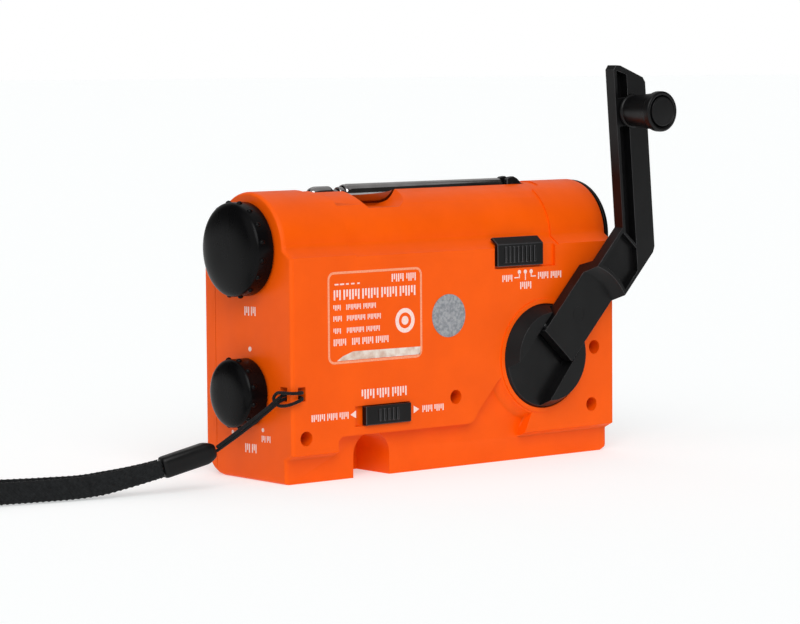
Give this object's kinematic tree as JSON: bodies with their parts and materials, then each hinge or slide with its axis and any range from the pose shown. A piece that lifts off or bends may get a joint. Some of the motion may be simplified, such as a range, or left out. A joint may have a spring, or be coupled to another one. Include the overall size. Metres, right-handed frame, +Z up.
{
  "type": "emergency radio",
  "caption": "Hand-cranked emergency radio with end flashlight, telescopic antenna, folding crank and wrist lanyard.",
  "frame": {"origin": "centre of the case's underside, on the surface it stands on", "axes": "+Y out of the back, where the crank is; +X towards the knobs; -X towards the flashlight; +Z up"},
  "size_m": [0.2987, 0.0819, 0.1381],
  "materials": {
    "orange_shell": "satin moulded ABS",
    "black_plastic": "satin moulded ABS",
    "black_rubber": "matt",
    "antenna_chrome": "polished",
    "plated_steel": "zinc plated",
    "rotor_brass": "turned",
    "white_acetal": "moulded acetal",
    "clear_plastic": "polished acrylic",
    "mirror_cup": "vacuum metallised",
    "circuit_board": "solder mask",
    "speaker_cone": "pressed paper in a steel basket",
    "ferrite": "sintered",
    "cell_sleeve": "shrink sleeve",
    "grey_foil": "speckled label",
    "red_pointer": "moulded",
    "black_webbing": "braided nylon"
  },
  "bodies": {
    "case": {"rear_case": "orange_shell", "front_case": "orange_shell", "case_screw_1": "plated_steel", "case_screw_2": "plated_steel", "case_screw_3": "plated_steel", "case_screw_4": "plated_steel", "gearbox_plate": "plated_steel", "idler_post": "plated_steel", "dynamo_housing": "plated_steel", "tuning_capacitor": "clear_plastic", "volume_pot": "plated_steel", "flashlight_switch_body": "plated_steel", "power_switch_body": "plated_steel", "band_switch_body": "plated_steel", "flashlight_bezel": "black_plastic", "flashlight_lens": "clear_plastic", "flashlight_reflector": "mirror_cup", "flashlight_led_board": "circuit_board", "antenna_yoke": "black_plastic", "antenna_pin": "plated_steel", "dial_window": "clear_plastic", "dial_scale": "white_acetal", "speaker": "speaker_cone", "main_board": "circuit_board", "ferrite_rod": "ferrite", "rechargeable_pack": "cell_sleeve", "dry_cell_1": "cell_sleeve", "dry_cell_2": "cell_sleeve", "dry_cell_3": "cell_sleeve", "battery_contacts": "plated_steel", "jack_block": "black_plastic", "inspection_sticker": "grey_foil", "lanyard_thread": "black_webbing", "strap_ferrule": "black_plastic", "wrist_strap": "black_webbing"},
    "crank": {"crank_hub": "black_plastic", "crank_hinge_pin": "plated_steel", "crank_shaft": "plated_steel", "drive_gear": "white_acetal"},
    "arm": {"crank_arm": "black_plastic", "finger_knob_pin": "black_plastic"},
    "grip": {"finger_knob": "black_plastic"},
    "idler": {"compound_gear": "white_acetal"},
    "rotor": {"dynamo_rotor": "rotor_brass"},
    "tuner": {"tuning_knob": "black_plastic", "tuning_shaft": "white_acetal"},
    "pointer": {"dial_pointer": "red_pointer"},
    "volume": {"volume_knob": "black_plastic", "volume_shaft": "plated_steel"},
    "flashlight_slider": {"flashlight_switch_cap": "black_plastic"},
    "power_slider": {"power_switch_cap": "black_plastic"},
    "band_slider": {"band_switch_cap": "black_plastic"},
    "antenna_base": {"antenna_section_1": "antenna_chrome"},
    "antenna_second": {"antenna_section_2": "antenna_chrome"},
    "antenna_third": {"antenna_section_3": "antenna_chrome"},
    "antenna_fourth": {"antenna_section_4": "antenna_chrome"},
    "door": {"battery_door": "orange_shell"},
    "port_flap": {"port_cover": "black_rubber"}
  },
  "joints": [
    {"name": "crank_spin", "type": "hinge", "parent": "case", "child": "crank", "pos_m": [-0.0388, 0.0245, 0.0364], "axis": [0, 1, 0], "range_deg": [-3600, 3600]},
    {"name": "crank_fold", "type": "hinge", "parent": "crank", "child": "arm", "pos_m": [-0.04294, 0.0283, 0.04088], "axis": [-0.7337, 0, -0.6794], "range_deg": [0, 180]},
    {"name": "grip_spin", "type": "hinge", "parent": "arm", "child": "grip", "pos_m": [-0.0703, 0.036, 0.1219], "axis": [0, 1, 0], "continuous": true},
    {"name": "idler_spin", "type": "hinge", "parent": "case", "child": "idler", "pos_m": [-0.0283, 0.0116, 0.05459], "axis": [0, 1, 0], "range_deg": [-11520, 11520]},
    {"name": "rotor_spin", "type": "hinge", "parent": "case", "child": "rotor", "pos_m": [-0.01092, 0, 0.04826], "axis": [0, 1, 0], "range_deg": [-35840, 35840]},
    {"name": "tuning_spin", "type": "hinge", "parent": "case", "child": "tuner", "pos_m": [0.0725, 0.0004, 0.0779], "axis": [1, 0, 0], "range_deg": [-150, 150]},
    {"name": "pointer_slide", "type": "slide", "parent": "case", "child": "pointer", "axis": [1, 0, 0], "range_m": [-0.0226, 0.0226]},
    {"name": "volume_spin", "type": "hinge", "parent": "case", "child": "volume", "pos_m": [0.0725, 0.0004, 0.0297], "axis": [1, 0, 0], "range_deg": [-145, 145]},
    {"name": "flashlight_switch_slide", "type": "slide", "parent": "case", "child": "flashlight_slider", "axis": [-1, 0, 0], "range_m": [0, 0.005]},
    {"name": "power_switch_slide", "type": "slide", "parent": "case", "child": "power_slider", "axis": [1, 0, 0], "range_m": [0, 0.003]},
    {"name": "band_switch_slide", "type": "slide", "parent": "case", "child": "band_slider", "axis": [1, 0, 0], "range_m": [-0.004, 0.004]},
    {"name": "antenna_tilt", "type": "hinge", "parent": "case", "child": "antenna_base", "pos_m": [-0.0422, 0.0008, 0.0952], "axis": [0, -1, 0], "range_deg": [0, 90]},
    {"name": "antenna_slide_2", "type": "slide", "parent": "antenna_base", "child": "antenna_second", "axis": [1, 0, 0], "range_m": [0, 0.058]},
    {"name": "antenna_slide_3", "type": "slide", "parent": "antenna_second", "child": "antenna_third", "axis": [1, 0, 0], "range_m": [0, 0.058]},
    {"name": "antenna_slide_4", "type": "slide", "parent": "antenna_third", "child": "antenna_fourth", "axis": [1, 0, 0], "range_m": [0, 0.058]},
    {"name": "battery_door_slide", "type": "slide", "parent": "case", "child": "door", "axis": [1, 0, 0], "range_m": [0, 0.0057]},
    {"name": "port_cover_flap", "type": "hinge", "parent": "case", "child": "port_flap", "pos_m": [-0.0726, -0.009, 0.0329], "axis": [0, 1, 0], "range_deg": [0, 110]}
  ],
  "couplings": [
    {"joint": "idler_spin", "follows": "crank_spin", "ratio": -3.2},
    {"joint": "rotor_spin", "follows": "crank_spin", "ratio": 9.9556},
    {"joint": "pointer_slide", "follows": "tuning_spin", "m_per_rad": 0.0086},
    {"joint": "antenna_slide_2", "follows": "antenna_tilt", "m_per_rad": 0.0369},
    {"joint": "antenna_slide_3", "follows": "antenna_tilt", "m_per_rad": 0.0369},
    {"joint": "antenna_slide_4", "follows": "antenna_tilt", "m_per_rad": 0.0369}
  ]
}
